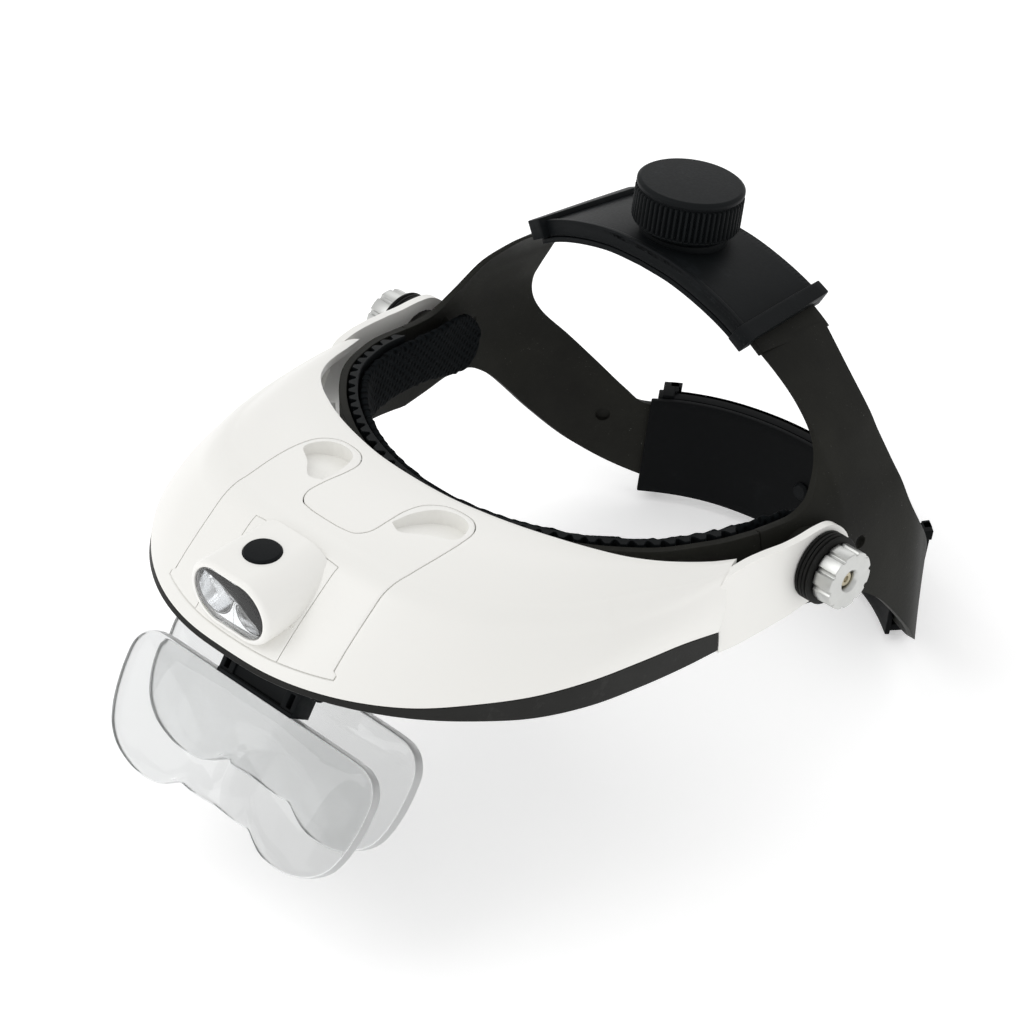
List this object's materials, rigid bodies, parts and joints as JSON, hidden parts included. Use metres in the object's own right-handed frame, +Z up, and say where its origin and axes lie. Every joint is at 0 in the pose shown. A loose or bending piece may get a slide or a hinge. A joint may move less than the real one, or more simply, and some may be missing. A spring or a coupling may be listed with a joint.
{
  "type": "head visor magnifier",
  "caption": "Head-worn magnifier: white tilting visor with a lamp, battery cover and hinged clear lens plates on an adjustable black headband with ratchet knobs.",
  "frame": {"origin": "midway between the two visor pivots, between the wearer's ears", "axes": "+Z up, the wearer faces -Y, +X to the wearer's left, visor lowered as worn"},
  "size_m": [0.1834, 0.2711, 0.1616],
  "materials": {
    "white": "satin off-white moulded plastic",
    "band": "matte black with a faint speckle",
    "black": "satin black",
    "pad": "soft dimpled foam skin",
    "aluminium": "turned",
    "steel": "bright",
    "brass": "turned",
    "clear": "clear polished acrylic",
    "chrome": "mirror",
    "led": "yellow die under clear dome",
    "board": "printed board",
    "cell": "plain wrapped can"
  },
  "bodies": {
    "headband": {"side_plate_left": "band", "side_plate_right": "band", "front_band": "band", "brow_liner": "black", "brow_pad": "pad", "crown_sleeve": "black", "crown_sleeve_base": "black", "crown_knob_washer": "steel", "nape_sleeve": "black", "nape_sleeve_base": "black", "nape_knob_washer": "steel", "pivot_bolt_left": "brass", "pivot_bolt_right": "brass", "pivot_spacer_left": "black", "pivot_spacer_right": "black"},
    "crown_wheel": {"crown_knob": "black", "crown_pinion": "black", "crown_screw": "steel"},
    "nape_wheel": {"nape_knob": "black", "nape_pinion": "black", "nape_screw": "steel"},
    "visor": {"visor_shell": "white", "under_trim": "black", "lamp_housing": "white", "lamp_window": "clear", "reflector_left": "chrome", "reflector_right": "chrome", "led_left": "led", "led_right": "led", "lamp_board": "board", "lamp_switch": "black", "battery_1": "cell", "battery_2": "cell", "battery_3": "cell", "battery_tray": "black", "contact_left": "steel", "contact_right": "steel", "holder_bracket": "black", "front_pin": "steel", "rear_pin": "steel", "friction_ring_inner_left": "black", "friction_ring_outer_left": "black", "friction_ring_inner_right": "black", "friction_ring_outer_right": "black"},
    "nut_left": {"thumb_nut_left": "aluminium"},
    "nut_right": {"thumb_nut_right": "aluminium"},
    "button": {"lamp_button": "black"},
    "cover": {"battery_cover": "white"},
    "front_clip": {"front_holder": "black"},
    "front_plate": {"front_lens": "clear"},
    "rear_clip": {"rear_holder": "black"},
    "rear_plate": {"rear_lens": "clear"}
  },
  "joints": [
    {"name": "visor_tilt", "type": "hinge", "parent": "headband", "child": "visor", "pos_m": [0, 0, 0], "axis": [-1, 0, 0], "range_deg": [-15, 60]},
    {"name": "thumb_nut_left_turn", "type": "hinge", "parent": "headband", "child": "nut_left", "pos_m": [0.088, 0, 0], "axis": [1, 0, 0], "range_deg": [-180, 180]},
    {"name": "thumb_nut_right_turn", "type": "hinge", "parent": "headband", "child": "nut_right", "pos_m": [-0.088, 0, 0], "axis": [-1, 0, 0], "range_deg": [-180, 180]},
    {"name": "crown_knob_turn", "type": "hinge", "parent": "headband", "child": "crown_wheel", "pos_m": [0, 0.02985, 0.05829], "axis": [0, 0.1759, 0.9844], "range_deg": [-180, 180]},
    {"name": "nape_knob_turn", "type": "hinge", "parent": "headband", "child": "nape_wheel", "pos_m": [0, 0.09463, -0.06664], "axis": [0, 0.9787, -0.2055], "range_deg": [-180, 180]},
    {"name": "lamp_button_press", "type": "slide", "parent": "visor", "child": "button", "axis": [0, 0, -1], "range_m": [0, 0.001], "stiffness_N_per_m": 400},
    {"name": "battery_cover_lift", "type": "slide", "parent": "visor", "child": "cover", "axis": [0, 0, 1], "range_m": [0, 0.014]},
    {"name": "front_lens_flip", "type": "hinge", "parent": "visor", "child": "front_clip", "pos_m": [0, -0.12918, -0.00478], "axis": [-1, 0, 0], "range_deg": [0, 60]},
    {"name": "rear_lens_tilt", "type": "hinge", "parent": "visor", "child": "rear_clip", "pos_m": [0, -0.11414, -0.00461], "axis": [-1, 0, 0], "range_deg": [-25, 0]},
    {"name": "front_lens_pull", "type": "slide", "parent": "front_clip", "child": "front_plate", "axis": [0, -0.5678, -0.8231], "range_m": [0, 0.012]},
    {"name": "rear_lens_pull", "type": "slide", "parent": "rear_clip", "child": "rear_plate", "axis": [0, -0.521, -0.8536], "range_m": [0, 0.012]}
  ]
}
